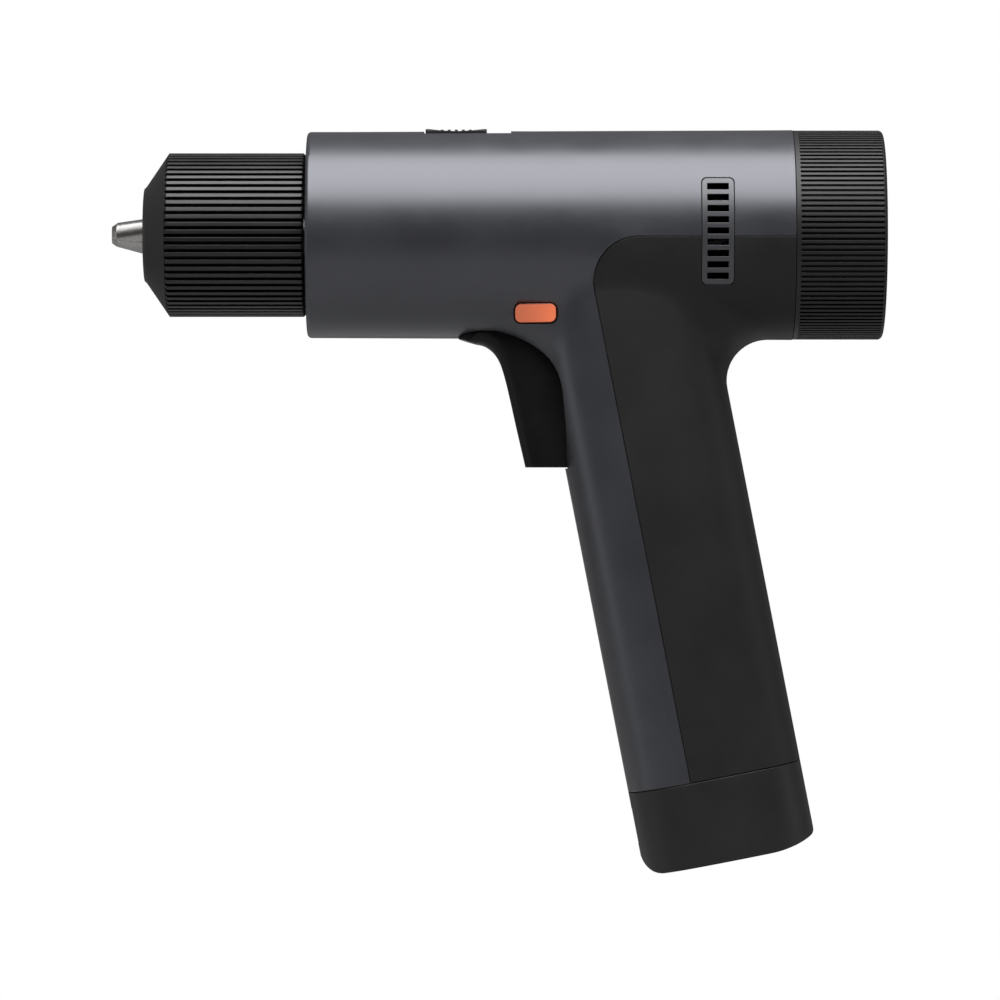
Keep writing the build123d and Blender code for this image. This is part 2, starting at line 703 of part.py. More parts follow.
def trigger_slot():
    """Opening for the trigger and the shallow relief around it, both below the barrel."""
    w = TRIGGER_HALF_WIDTH + TRIGGER_SIDE_GAP
    slot = block((-112, -60), (-w, w), (TRIGGER_BOTTOM_Z - 0.3, -20))
    curve = Spline([(x, 0, z) for x, z in TRIGGER_RELIEF])
    first, last = TRIGGER_RELIEF[0], TRIGGER_RELIEF[-1]
    ahead = Polyline((last[0], 0, last[1]), (-60, 0, last[1]), (-60, 0, first[1]), (first[0], 0, first[1]))
    relief = Pos(0, -40, 0) * extrude(make_face([curve, ahead]), amount=80, dir=(0, 1, 0))
    return (slot + relief) - barrel_solid(-0.01)


def housing_shell():
    """Both halves' shell, without the panel's recess."""
    cavity = outer_body(WALL)
    outer = outer_body(0)
    front_edge = outer.edges().filter_by(GeomType.CIRCLE).sort_by(Axis.X)[-1:]
    outer = fillet(front_edge, BARREL_EDGE)
    shell = outer - (cavity - disc(30, 0, BARREL_FRONT - FRONT_WALL) - disc(30, -150.2, -160))
    shell = shell - disc(FRONT_OPENING_R, 0, -45)
    shell = shell + disc(SPIGOT_R, BARREL_REAR + 0.1, CAP_FLANGE_FRONT + 0.2)
    shell = shell - disc(SPIGOT_BORE_R, -149, -175)
    ribs = [
        tube(23.3, CASE_R + 0.05, -54.0, -56.0),
        tube(23.3, CASE_R + 0.05, -80.0, -82.0),
        tube(23.3, STATOR_R + 0.05, -103.0, -105.0),
        tube(23.3, STATOR_R + 0.05, -119.0, -121.0),
        tube(23.3, MOTOR_BEARING_R, -140.8, -146.2),
    ]
    bosses = [screw_column(x, z, BOSS_R, -30, 30) for x, z in SCREWS]
    inner = outer_body(WALL / 2)
    inside = ribs + bosses + button_guides() + trigger_cheeks()
    shell = union([shell] + [piece & inner for piece in inside])
    wire_gap = block((-135, -115), (-9, 9), (-30, -17))
    cuts = [trigger_slot(), button_bar(BUTTON_GAP, 40), wire_gap & disc(23.0, 0, -150)]
    cuts += [grille_region(0)]
    cuts += [block((SLIDER_REAR - SLIDER_TRAVEL - 0.5, SLIDER_FRONT + 0.4),
                   (-SLIDER_HALF_WIDTH - 0.3, SLIDER_HALF_WIDTH + 0.3), (SLIDER_FLOOR_Z, 30))]
    cuts += [block((YOKE[1] - SLIDER_TRAVEL - 2.3, YOKE[0] + 1.0), (-3.2, 3.2), (20, 30))]
    cuts += [screw_column(x, z, SCREW_HEAD_R + 0.2, -40, SCREW_SEAT_Y) for x, z in SCREWS]
    cuts += [screw_column(x, z, SCREW_R + 0.02, -30, SCREW_END_Y + 0.5) for x, z in SCREWS]
    return cut_all(shell, cuts)


def half(shape, side):
    return shape & block((-200, 50), (0, 60 * side), (-200, 60))


def housing(side, shell, skin):
    return half(shell - (skin & panel_region(0)), side)


def grip_panel(side, skin):
    panel = skin & panel_region(SEAM_GAP)
    cuts = [grille_region(0)]
    cuts += [screw_column(x, z, SCREW_HEAD_R + 0.2, -40, SCREW_SEAT_Y) for x, z in SCREWS]
    return half(cut_all(panel, cuts), side)


def vent_grille(side):
    insert = barrel_solid(0.0) - barrel_solid(WALL)
    insert = insert & grille_region(0.15)
    mid = (GRILLE_FRONT + GRILLE_REAR) / 2
    slots = [
        Pos(mid, 0, GRILLE_PITCH * (i - (GRILLE_SLOTS - 1) / 2)) * Box(
            GRILLE_SLOT_LENGTH, 80, GRILLE_SLOT_HEIGHT)
        for i in range(GRILLE_SLOTS)
    ]
    return half(cut_all(insert, slots), side)


def housing_screws():
    return [
        screw_column(x, z, SCREW_HEAD_R, SCREW_SEAT_Y - 2.0, SCREW_SEAT_Y)
        + screw_column(x, z, SCREW_R, SCREW_SEAT_Y, SCREW_END_Y)
        - screw_column(x, z, 1.1, SCREW_SEAT_Y - 3.0, SCREW_SEAT_Y - 1.0)
        for x, z in SCREWS
    ]


# ---- rear ----

def torque_ring():
    ring = tube(RING_R, RING_BORE_R, BARREL_REAR - 0.15, RING_REAR)
    ring = fillet(ring.edges().filter_by(GeomType.CIRCLE).sort_by(Axis.X)[0:2].sort_by(
        lambda e: e.radius)[-1:], 1.1)
    ring = ring - disc(22.2, CAP_FLANGE_FRONT + 0.1, RING_REAR - 1)
    ribs = ribbed_prism(RING_R + 0.01, RING_RIB_DEPTH, RING_RIBS, BARREL_REAR - 1.2, RING_REAR + 0.7)
    plain = [
        disc(RING_R + 1, BARREL_REAR, BARREL_REAR - 1.2),
        disc(RING_R + 1, RING_REAR + 0.7, RING_REAR - 1),
    ]
    return ring & union([ribs] + plain)


def rear_cap():
    cap = union([disc(22.05, CAP_FLANGE_FRONT, RING_REAR + 0.5), disc(SPIGOT_BORE_R - 0.05, -160, -169)])
    cap = cap - disc(SPIGOT_BORE_R - 2.0, -159, -170.5)
    return cap - disc(15.5, RING_REAR + 1.0, RING_REAR - 1)


# ---- handle ----

def trigger():
    """Blade that follows the barrel's underside and tapers to a rounded tip."""
    front = Spline([(x, 0, z) for x, z in TRIGGER_FRONT])
    rest = Polyline([(x, 0, z) for x, z in (
        TRIGGER_FRONT[-1], (TRIGGER_REAR, TRIGGER_BOTTOM_Z), (TRIGGER_REAR, -20.0),
        (TRIGGER_TIP_X, -20.0), (TRIGGER_TIP_X, -24.5), TRIGGER_FRONT[0])])
    blade = extrude(make_face([front, rest]), amount=2 * TRIGGER_HALF_WIDTH, dir=(0, 1, 0))
    blade = Pos(0, -TRIGGER_HALF_WIDTH, 0) * blade
    rounded = [e for e in blade.edges() if e.length > 25 and e.geom_type == GeomType.BSPLINE]
    blade = fillet(rounded, TRIGGER_EDGE_R)
    plan = block((TRIGGER_REAR - 1, TRIGGER_TIP_X), (-TRIGGER_HALF_WIDTH, TRIGGER_HALF_WIDTH), (-60, -15))
    plan = fillet(plan.edges().filter_by(Axis.Z).sort_by(Axis.X)[-2:], TRIGGER_TIP_R)
    blade = (blade & plan) - barrel_solid(-TRIGGER_GAP)
    return blade - Pos(0, 0, -42) * disc(3.6, -95.0, -110)


def trigger_spring():
    coil = Helix(pitch=2.3, height=14.0, radius=2.9, center=(-109.6, 0, -42), direction=(1, 0, 0))
    start = coil.position_at(0)
    wire = Plane(origin=start, z_dir=coil.tangent_at(0)) * Circle(0.35)
    return sweep(wire, coil, is_frenet=True)


def switch_body():
    body = block((-125.5, -110.2), (-8.8, 8.8), (-53.5, -29.0))
    lugs = block((-122, -114), (-10.6, 10.6), (-46, -42))
    return body + lugs


def control_board():
    board = handle_block((28, 57), (-15.4, -13.8), (-11.5, 11.5))
    chips = [
        handle_block((s, s + 4.5), (-13.8, -12.0), (y, y + 5.2))
        for s in (31, 38) for y in (-9, -2.6, 3.8)
    ]
    caps = [handle_block((46, 55), (-13.8, -11.4), (y, y + 6)) for y in (-8, 2)]
    return union([board] + chips + caps)


def wire(points, radius):
    path = Spline(points)
    profile = Plane(origin=path.position_at(0), z_dir=path.tangent_at(0)) * Circle(radius)
    return sweep(profile, path)


def wiring():
    top = at_handle(27.0, -14.6)
    leads = [wire([(-127.9, y, -15.0), (-128.8, y, -19.0), (top[0], y, top[1])], 0.8) for y in (-4, 0, 4)]
    end = at_handle(57.8, -14.6)
    plug = at_handle(59.1, -9.6)
    leads += [wire([(end[0], y, end[1]), (plug[0], y, plug[1])], 0.8) for y in (-6, 6)]
    return leads


def direction_button():
    """Bar through the housing whose ends follow its outside, standing slightly proud."""
    return button_bar(0, 30) & outer_body(-BUTTON_PROUD)


def terminal_block():
    holder = handle_block((60.0, 65.8), (-10.5, 10.5), (-10.0, 10.0))
    slots = [handle_block((61.0, 66.5), (-4.6, 4.6), (y - 0.6, y + 0.6)) for y in TERMINAL_YS]
    return cut_all(holder, slots)


# ---- battery ----

def battery_cap():
    """Foot of the battery: a rounded front corner and a bottom that curves up to the rear."""
    side = Plane(origin=(HANDLE_X, 0, 0), x_dir=handle_plane(0).x_dir, z_dir=(0, 1, 0))
    rear, front, top = -HALF_DEPTH, HALF_DEPTH, HANDLE_END - 5
    profile = make_face([
        Polyline((rear, FOOT_RISE_S), (rear, top), (front, top), (front, CAP_END), (FOOT_CURVE_N, CAP_END)),
        TangentArc((FOOT_CURVE_N, CAP_END), (rear, FOOT_RISE_S), tangent=(-1, 0)),
    ])
    profile = fillet(profile.vertices().sort_by_distance((front, CAP_END, 0))[:1], 4.5)
    profile = fillet(profile.vertices().sort_by_distance((rear, FOOT_RISE_S, 0))[:1], 1.4)
    return handle_prism(HANDLE_END + 0.25, CAP_END, 0) & extrude(side * profile, amount=40, both=True)


def battery_case():
    stick = handle_prism(BATTERY_TOP, HANDLE_END + 2, CASE_INSET)
    outer = union([stick, battery_cap()])
    hollow = handle_prism(BATTERY_TOP + 1.2, CAP_END - 4.0, CASE_INSET + CASE_WALL)
    latch_hole = handle_block((133.8, 142.2), (14.0, 30.0), (-6.2, 6.2))
    slots = [
        handle_block((BATTERY_TOP - 1, BATTERY_TOP + 3), (-4.1, 4.1), (y - 0.5, y + 0.5))
        for y in TERMINAL_YS
    ]
    latch_post = handle_block((134.0, CAP_END - 4.0), (10.4, 11.6), (-5.0, 5.0))
    return cut_all(outer, [hollow, latch_hole] + slots) + latch_post


def battery_cells():
    return [
        handle_rod((CELL_TOP, CELL_TOP + CELL_LENGTH), n, y, CELL_R)
        + handle_rod((CELL_TOP - 0.5, CELL_TOP), n, y, 3.0)
        for n, y in CELLS
    ]


def battery_terminals():
    return [handle_block((61.4, BATTERY_TOP + 1.2), (-4.0, 4.0), (y - 0.4, y + 0.4)) for y in TERMINAL_YS]


def battery_latch():
    button = handle_block((134.0, 142.0), (15.2, 22.0), (-6.0, 6.0)) & handle_prism(130, 146, 0.05)
    plate = handle_block((133.6, 142.8), (15.2, 16.6), (-6.8, 6.8))
    return button + plate


def latch_spring():
    x, z = at_handle(138, 12.0)
    a = radians(TILT)
    coil = Helix(pitch=1.3, height=3.0, radius=2.2, center=(x, 0, z), direction=(cos(a), 0, -sin(a)))
    wire_section = Plane(origin=coil.position_at(0), z_dir=coil.tangent_at(0)) * Circle(0.25)
    return sweep(wire_section, coil, is_frenet=True)


def save(name, shape):
    if isinstance(shape, (list, tuple, ShapeList)):
        shape = Compound(children=[s if isinstance(s, Solid) else s.solids()[0] for s in shape])
    export_step(shape, f"parts/{name}.step")


def build():
    os.makedirs("parts", exist_ok=True)
    outer = outer_body(0)
    skin = outer - outer_body(PANEL_THICKNESS)
    shell = housing_shell()
    nodes = {
        "housing_left": housing(1, shell, skin),
        "housing_right": housing(-1, shell, skin),
        "grip_panel_left": grip_panel(1, skin),
        "grip_panel_right": grip_panel(-1, skin),
        "vent_grille_left": vent_grille(1),
        "vent_grille_right": vent_grille(-1),
        "housing_screws": housing_screws(),
        "gearbox_case": gearbox_case(),
        "gearbox_back_plate": gearbox_back_plate(),
        "gearbox_screws": gearbox_screws(),
        "front_bearing_outer": front_bearing_outer(),
        "front_bearing_inner": front_bearing_inner(),
        "front_bearing_balls": front_bearing_balls(),
        "ring_gear_1": ring_gear_1(),
        "ring_gear_2": ring_gear_2(),
        "ring_gear_3": ring_gear_3(),
        "shift_yoke": shift_yoke(),
        "speed_slider": speed_slider(),
        "spindle": spindle(),
        "carrier_2": sun_carrier(STAGE_3[0], *PLATE_2, STAGE_2[1] - 0.2),
        "carrier_1": sun_carrier(STAGE_2[0], *PLATE_1, STAGE_1[1] - 0.2),
        "motor_pinion": motor_pinion(),
        "rotor_shaft": rotor_shaft(),
        "rotor_core": rotor_core(),
        "stator_core": stator_core(),
        "stator_windings": stator_windings(),
        "fan": fan(),
        "motor_bearing_front": motor_bearing(FRONT_MOTOR_BEARING_X),
        "motor_bearing_rear": motor_bearing(REAR_MOTOR_BEARING_X),
        "torque_ring": torque_ring(),
        "rear_cap": rear_cap(),
        "trigger": trigger(),
        "trigger_spring": trigger_spring(),
        "switch_body": switch_body(),
        "control_board": control_board(),
        "wiring": wiring(),
        "direction_button": direction_button(),
        "terminal_block": terminal_block(),
        "battery_case": battery_case(),
        "battery_cells": battery_cells(),
        "battery_terminals": battery_terminals(),
        "battery_latch": battery_latch(),
        "latch_spring": latch_spring(),
        "chuck_sleeve": chuck_sleeve(),
        "chuck_body": chuck_body(),
        "chuck_nut": chuck_nut(),
        "chuck_screw": chuck_screw(),
    }
    for i, angle in enumerate(JAW_ANGLES, 1):
        nodes[f"jaw_{i}"] = jaw(angle)
    for number, stage in ((1, STAGE_1), (2, STAGE_2), (3, STAGE_3)):
        for letter, angle in zip("abc", PLANET_ANGLES):
            nodes[f"planet_{number}{letter}"] = planet_gear(angle, stage)
    for name, shape in nodes.items():
        save(name, shape)


build()
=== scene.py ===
import json
import math

import bpy
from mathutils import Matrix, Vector

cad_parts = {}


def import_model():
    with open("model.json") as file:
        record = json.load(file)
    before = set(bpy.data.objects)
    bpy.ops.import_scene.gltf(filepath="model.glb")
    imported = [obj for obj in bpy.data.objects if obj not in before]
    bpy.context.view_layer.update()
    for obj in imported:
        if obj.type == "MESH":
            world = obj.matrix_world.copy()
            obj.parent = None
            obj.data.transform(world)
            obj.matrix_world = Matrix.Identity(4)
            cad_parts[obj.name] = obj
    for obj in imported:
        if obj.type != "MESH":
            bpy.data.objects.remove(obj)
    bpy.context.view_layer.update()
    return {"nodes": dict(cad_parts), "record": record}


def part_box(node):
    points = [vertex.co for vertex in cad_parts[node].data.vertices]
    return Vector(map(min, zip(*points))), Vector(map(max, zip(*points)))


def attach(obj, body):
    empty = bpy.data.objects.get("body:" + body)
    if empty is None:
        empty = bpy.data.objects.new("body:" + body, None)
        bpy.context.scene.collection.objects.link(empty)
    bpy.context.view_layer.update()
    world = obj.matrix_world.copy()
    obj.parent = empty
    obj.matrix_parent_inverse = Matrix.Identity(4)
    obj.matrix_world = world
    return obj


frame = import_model()
NODES = frame["nodes"]
MM = 0.001
# Near-black colour of the painted shade between the ribs and along the housing's split line.
SHADE_BLACK = (0.001, 0.001, 0.001)

# ---- shader settings: lengths in millimetres, noise as (cycles per millimetre, detail, roughness) ----

BEVEL_SAMPLES = 6
# Painted shade between the ribs: how far inside the floor radius it still reaches. Painted shade along the
# split line: the span of distance from the split plane over which it fades.
GROOVE_REACH = 1.0
SEAM_SHADE_RANGE = (0.06, 0.14)

# Detail and roughness only: each material sets the size of its own grain.
GRAIN_DETAIL = (2.0, 0.6)
HANDLING_NOISE = (0.06, 4.0, 0.6)
SPECK_NOISE = (0.9, 5.0, 0.7)
RUBBED_NOISE = (0.5, 4.0, 0.7)
STREAK_NOISE = (4.0, 3.0, 0.6)
OIL_NOISE = (0.12, 4.0, 0.6)

# Each range is the span of its input over which the result changes.
HANDLING_RANGE = (0.35, 0.75)
HANDLING_STRENGTH = 0.35
SPECK_RANGE = (0.62, 0.74)
SPECK_STRENGTH = 0.12
RUBBED_RANGE = (0.7, 0.98)
RUBBED_EDGE_FACTOR = 1.4
RUBBED_POLISH = 0.08
# Painted shade around a part's sharp edges, standing in for the shaded gap around it: the span of the edge
# mask and the share of colour kept.
EDGE_SHADE_RANGE = (0.75, 0.99)
EDGE_SHADE_SHARE = 0.12
ROUGHNESS_RANGE = (0.3, 0.7)
ROUGHNESS_SWING = 0.035
# Specular level where painted shade lies between the ribs or along the split line.
PAINTED_SHADE_SPECULAR = 0.05
STREAK_RANGE = (0.35, 0.7)
STREAK_STRENGTH = 0.5
STREAK_DEPTH = 0.004
STREAK_ROUGHNESS_DROP = 0.07
STREAK_ROUGHNESS_RISE = 0.1
OIL_RANGE = (0.45, 0.7)
OIL_STRENGTH = 0.25
OIL_SHADE = 0.62

# A colour's paler tints, as (gain, lift).
RUBBED_TINT = (1.9, 0.012)
DUSTY_TINT = (1.25, 0.006)

# ---- node helpers ----


class Shader:
    """Builds one Principled material from small steps."""

    def __init__(self, name):
        self.material = bpy.data.materials.new(name)
        self.material.use_nodes = True
        self.tree = self.material.node_tree
        self.bsdf = self.tree.nodes["Principled BSDF"]
        self.coords = self.new("ShaderNodeTexCoord").outputs["Object"]

    def new(self, kind, **settings):
        node = self.tree.nodes.new(kind)
        for key, value in settings.items():
            setattr(node, key, value)
        return node

    def link(self, source, target):
        self.tree.links.new(source, target)

    def put(self, socket, value):
        if hasattr(value, "is_output"):
            self.link(value, socket)
        else:
            socket.default_value = value

    def set(self, **values):
        for key, value in values.items():
            self.put(self.bsdf.inputs[key.replace("_", " ")], value)

    def math(self, operation, a, b=0.0, clamp=False):
        node = self.new("ShaderNodeMath", operation=operation, use_clamp=clamp)
        self.put(node.inputs[0], a)
        self.put(node.inputs[1], b)
        return node.outputs[0]

    def scaled_coords(self, scale):
        node = self.new("ShaderNodeVectorMath", operation="MULTIPLY")
        self.link(self.coords, node.inputs[0])
        node.inputs[1].default_value = scale
        return node.outputs[0]

    def noise(self, per_mm, detail, rough, stretch=(1, 1, 1)):
        node = self.new("ShaderNodeTexNoise")
        self.link(self.scaled_coords([per_mm / MM * s for s in stretch]), node.inputs["Vector"])
        node.inputs["Scale"].default_value = 1.0
        node.inputs["Detail"].default_value = detail
        node.inputs["Roughness"].default_value = rough
        return node.outputs["Fac"]

    def axis_mm(self, axis):
        node = self.new("ShaderNodeSeparateXYZ")
        self.link(self.scaled_coords((1 / MM, 1 / MM, 1 / MM)), node.inputs[0])
        return node.outputs[axis]

    def painted_groove_shade(self, floor, top, front, strength):
        """Painted shade between the ribs around the spindle axis, behind the front station, fading from floor
        to top radius.
        """
        radius = self.new("ShaderNodeVectorMath", operation="LENGTH")
        self.link(self.scaled_coords((0.0, 1 / MM, 1 / MM)), radius.inputs[0])
        radius = radius.outputs["Value"]
        sunk = self.ramp(radius, floor, top, strength, 0.0)
        sunk = self.math("MULTIPLY", sunk, self.math("GREATER_THAN", radius, floor - GROOVE_REACH))
        return self.math("MULTIPLY", sunk, self.math("LESS_THAN", self.axis_mm("X"), front))

    def painted_seam_shade(self):
        """Painted shade of the seam: 1 within a hair of the plane where the two halves of the housing meet.
        """
        return self.ramp(self.math("ABSOLUTE", self.axis_mm("Y")), *SEAM_SHADE_RANGE, 1.0, 0.0)

    def ramp(self, value, low, high, out_low, out_high):
        """Maps the span from low to high onto out_low to out_high, held at both ends."""
        node = self.new("ShaderNodeMapRange")
        self.put(node.inputs["Value"], value)
        node.inputs["From Min"].default_value = low
        node.inputs["From Max"].default_value = high
        node.inputs["To Min"].default_value = out_low
        node.inputs["To Max"].default_value = out_high
        return node.outputs["Result"]

    def mix(self, factor, a, b):
        node = self.new("ShaderNodeMix", data_type="RGBA")
        self.put(node.inputs["Factor"], factor)
        self.put(node.inputs["A"], (*a, 1.0) if isinstance(a, tuple) else a)
        self.put(node.inputs["B"], (*b, 1.0) if isinstance(b, tuple) else b)
        return node.outputs["Result"]

    def round_edges(self, radius_mm):
        node = self.new("ShaderNodeBevel", samples=BEVEL_SAMPLES)
        node.inputs["Radius"].default_value = radius_mm * MM
        return node.outputs["Normal"]

    def bump(self, height, depth_mm, normal):
        node = self.new("ShaderNodeBump")
        node.inputs["Strength"].default_value = 1.0
        node.inputs["Distance"].default_value = depth_mm * MM
        self.link(height, node.inputs["Height"])
        self.link(normal, node.inputs["Normal"])
        return node.outputs["Normal"]

    def edge_mask(self, radius_mm, low, high):
        """1 where the surface bends away sharply, from the rounded normal against the true one."""
        rounded = self.round_edges(radius_mm)
        geometry = self.new("ShaderNodeNewGeometry")
        dot = self.new("ShaderNodeVectorMath", operation="DOT_PRODUCT")
        self.link(rounded, dot.inputs[0])
        self.link(geometry.outputs["Normal"], dot.inputs[1])
        return self.ramp(dot.outputs["Value"], low, high, 1.0, 0.0)


def tinted(color, gain, lift):
    return tuple(min(1.0, c * gain + lift) for c in color)


def darkened(color, share):
    return tuple(c * share for c in color)


def moulded(name, color, rough, metallic=0.0, specular=0.5, grain=0.3, grain_depth=0.006,
            edge=0.25, wear=0.35, painted_edge_shade=0.0, groove_shade=None, painted_seam_shade=False):
    """Moulded or painted plastic with fine grain, handling marks and rubbed edges.

    It may also have painted shade around its edges, and painted shade either between its ribs or along the
    split line.
    """
    s = Shader(name)
    texture = s.noise(1 / grain, *GRAIN_DETAIL)
    broad = s.noise(*HANDLING_NOISE)
    specks = s.ramp(s.noise(*SPECK_NOISE), *SPECK_RANGE, 0.0, 1.0)
    worn_edges = s.edge_mask(edge * RUBBED_EDGE_FACTOR, *RUBBED_RANGE)
    rubbed = s.math("MULTIPLY", worn_edges, s.noise(*RUBBED_NOISE), clamp=True)
    lighter = tinted(color, *RUBBED_TINT)
    dusty = tinted(color, *DUSTY_TINT)
    shade = s.mix(s.ramp(broad, *HANDLING_RANGE, 0.0, HANDLING_STRENGTH), color, dusty)
    shade = s.mix(s.math("MULTIPLY", specks, SPECK_STRENGTH), shade, lighter)
    shade = s.mix(s.math("MULTIPLY", rubbed, wear), shade, lighter)
    s.set(Metallic=metallic)
    shine = specular
    if painted_edge_shade:
        # Painted shade: the colour darkens where the surface bends away sharply, standing in for the shaded
        # gap around the part.
        edge_shade_mask = s.math("MULTIPLY", s.edge_mask(edge, *EDGE_SHADE_RANGE), painted_edge_shade)
        shade = s.mix(edge_shade_mask, shade, darkened(color, EDGE_SHADE_SHARE))
    if groove_shade or painted_seam_shade:
        # Painted shade: near-black colour and a lower specular level between the ribs or along the split
        # line, standing in for shade in the recesses and the seam gap.
        dark = s.painted_groove_shade(*groove_shade) if groove_shade else s.painted_seam_shade()
        shade = s.mix(dark, shade, SHADE_BLACK)
        shine = s.ramp(dark, 0.0, 1.0, specular, PAINTED_SHADE_SPECULAR)
    s.set(Base_Color=shade)
    roughness = s.ramp(broad, *ROUGHNESS_RANGE, rough - ROUGHNESS_SWING, rough + ROUGHNESS_SWING)
    roughness = s.math("SUBTRACT", roughness, s.math("MULTIPLY", rubbed, RUBBED_POLISH))
    s.set(Roughness=roughness, Specular_IOR_Level=shine)
    s.link(s.bump(texture, grain_depth, s.round_edges(edge)), s.bsdf.inputs["Normal"])
    return s.material


def machined(name, color, rough, streak=(1, 1, 1), edge=0.15, oil=0.0):
    """Cut or ground metal: fine streaks and darker, oilier patches."""
    s = Shader(name)
    streaks = s.noise(*STREAK_NOISE, streak)
    broad = s.noise(*OIL_NOISE)
    darker = darkened(color, OIL_SHADE)
    shade = s.mix(s.ramp(streaks, *STREAK_RANGE, 0.0, STREAK_STRENGTH), color, darker)
    oily = s.math("MULTIPLY", s.ramp(broad, *OIL_RANGE, 0.0, 1.0), OIL_STRENGTH + oil)
    shade = s.mix(oily, shade, darker)
    s.set(Base_Color=shade, Metallic=1.0)
    smoothest = rough - STREAK_ROUGHNESS_DROP
    roughest = rough + STREAK_ROUGHNESS_RISE
    s.set(Roughness=s.ramp(streaks, *ROUGHNESS_RANGE, smoothest, roughest))
    s.link(s.bump(streaks, STREAK_DEPTH, s.round_edges(edge)), s.bsdf.inputs["Normal"])
    return s.material


# Painted shade between the ribs is given as (floor radius, top radius, front station, strength).
MOULDED = {
    "barrel_grey": dict(color=(0.04, 0.041, 0.047), rough=0.37, metallic=0.6, grain=0.12, grain_depth=0.002,
                        edge=0.3, wear=0.3, painted_seam_shade=True),
    "grip_black": dict(color=(0.006, 0.006, 0.0063), rough=0.56, specular=0.2, grain_depth=0.008, wear=0.4,
                       painted_seam_shade=True),
    "grille_grey": dict(color=(0.03, 0.031, 0.035), rough=0.42, metallic=0.3, grain=0.15, grain_depth=0.003,
                        edge=0.2, wear=0.3),
    "sleeve_black": dict(color=(0.005, 0.005, 0.0052), rough=0.42, specular=0.3, edge=0.18, wear=0.45,
                         groove_shade=(18.55, 19.1, -5.4, 1.0)),
    "ring_black": dict(color=(0.005, 0.005, 0.0052), rough=0.52, specular=0.26, edge=0.12, wear=0.45,
                       groove_shade=(24.2, 24.55, -153.8, 0.6)),
    "trigger_black": dict(color=(0.002, 0.002, 0.0024), rough=0.45, specular=0.12, grain_depth=0.004,
                          edge=0.35),
    "cap_black": dict(color=(0.006, 0.006, 0.0063), rough=0.5, specular=0.25, grain_depth=0.008, edge=0.3),
    "button_orange": dict(color=(0.85, 0.18, 0.065), rough=0.38, grain_depth=0.003, edge=0.5, wear=0.1,
                          painted_edge_shade=0.9),
    "nylon_black": dict(color=(0.014, 0.014, 0.014), rough=0.45, grain=0.2, grain_depth=0.004, edge=0.2),
    "board_green": dict(color=(0.01, 0.09, 0.03), rough=0.3, grain=0.4, grain_depth=0.003, edge=0.1),
    "wire_red": dict(color=(0.4, 0.015, 0.012), rough=0.4, grain=0.4, grain_depth=0.002, edge=0.1, wear=0.1),
    "cell_wrap": dict(color=(0.05, 0.16, 0.4), rough=0.25, grain=0.6, grain_depth=0.002, edge=0.3, wear=0.2),
}
MACHINED = {
    "jaw_steel": dict(color=(0.27, 0.265, 0.26), rough=0.3, streak=(0.3, 3, 3), oil=0.3),
    "screw_steel": dict(color=(0.08, 0.08, 0.085), rough=0.35),
    "gear_steel": dict(color=(0.35, 0.35, 0.37), rough=0.3, streak=(3, 1, 1), edge=0.1, oil=0.2),
    "bearing_steel": dict(color=(0.6, 0.6, 0.62), rough=0.15, streak=(4, 1, 1)),
    "spring_steel": dict(color=(0.45, 0.45, 0.46), rough=0.28),
    "case_alloy": dict(color=(0.5, 0.5, 0.51), rough=0.5, edge=0.3),
    "stator_steel": dict(color=(0.16, 0.165, 0.18), rough=0.45, streak=(14, 0.2, 0.2), edge=0.1),
    "copper": dict(color=(0.55, 0.2, 0.07), rough=0.3, streak=(0.4, 8, 8), edge=0.4),
    "contact_brass": dict(color=(0.7, 0.5, 0.2), rough=0.25),
}

MATERIALS = {name: moulded(name, **look) for name, look in MOULDED.items()}
MATERIALS.update({name: machined(name, **look) for name, look in MACHINED.items()})
SLOT_OF = {part["node"]: part["material_slot"] for part in frame["record"]["subparts"]}

for node_name, cad_object in NODES.items():
    cad_object.data.materials.clear()
    cad_object.data.materials.append(MATERIALS[SLOT_OF[node_name]])

# ---- liner around the direction button ----

CORNER_STEPS = 6
BUTTON_CORNER_R = 1.4 * MM
LINER_CLEARANCE = 0.01 * MM
LINER_WIDTH = 0.6 * MM
LINER_HALF_THICKNESS = 0.5 * MM


def button_loop(grow, y):
    """Points around the direction button's rounded section, a little outside it, at one Y."""
    low, high = (Vector(corner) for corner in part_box("direction_button"))
    centre = (low + high) / 2
    half = (high - low) / 2
    radius = BUTTON_CORNER_R + grow
    corners = ((1, 1), (-1, 1), (-1, -1), (1, -1))
    points = []
    for quarter, (side_x, side_z) in enumerate(corners):
        corner_x = centre.x + side_x * (half.x - BUTTON_CORNER_R)
        corner_z = centre.z + side_z * (half.z - BUTTON_CORNER_R)
        for step in range(CORNER_STEPS + 1):
            angle = math.radians(90 * (quarter + step / CORNER_STEPS))
            points.append((corner_x + radius * math.cos(angle), y, corner_z + radius * math.sin(angle)))
    return points


def button_liner():
    """Thin frame inside the housing that keeps light from passing along the button."""
    rings = [
        button_loop(LINER_CLEARANCE, -LINER_HALF_THICKNESS),
        button_loop(LINER_WIDTH, -LINER_HALF_THICKNESS),
        button_loop(LINER_WIDTH, LINER_HALF_THICKNESS),
        button_loop(LINER_CLEARANCE, LINER_HALF_THICKNESS),
    ]
    count = len(rings[0])
    faces = []
    for ring in range(len(rings)):
        near = ring * count
        far = (ring + 1) % len(rings) * count
        for i in range(count):
            j = (i + 1) % count
            faces.append((near + i, near + j, far + j, far + i))
    mesh = bpy.data.meshes.new("button_liner")
    mesh.from_pydata([point for ring in rings for point in ring], [], faces)
    mesh.materials.append(MATERIALS["nylon_black"])
    liner = bpy.data.objects.new("button_liner", mesh)
    bpy.context.scene.collection.objects.link(liner)
    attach(liner, "housing")


button_liner()

# ---- stage ----

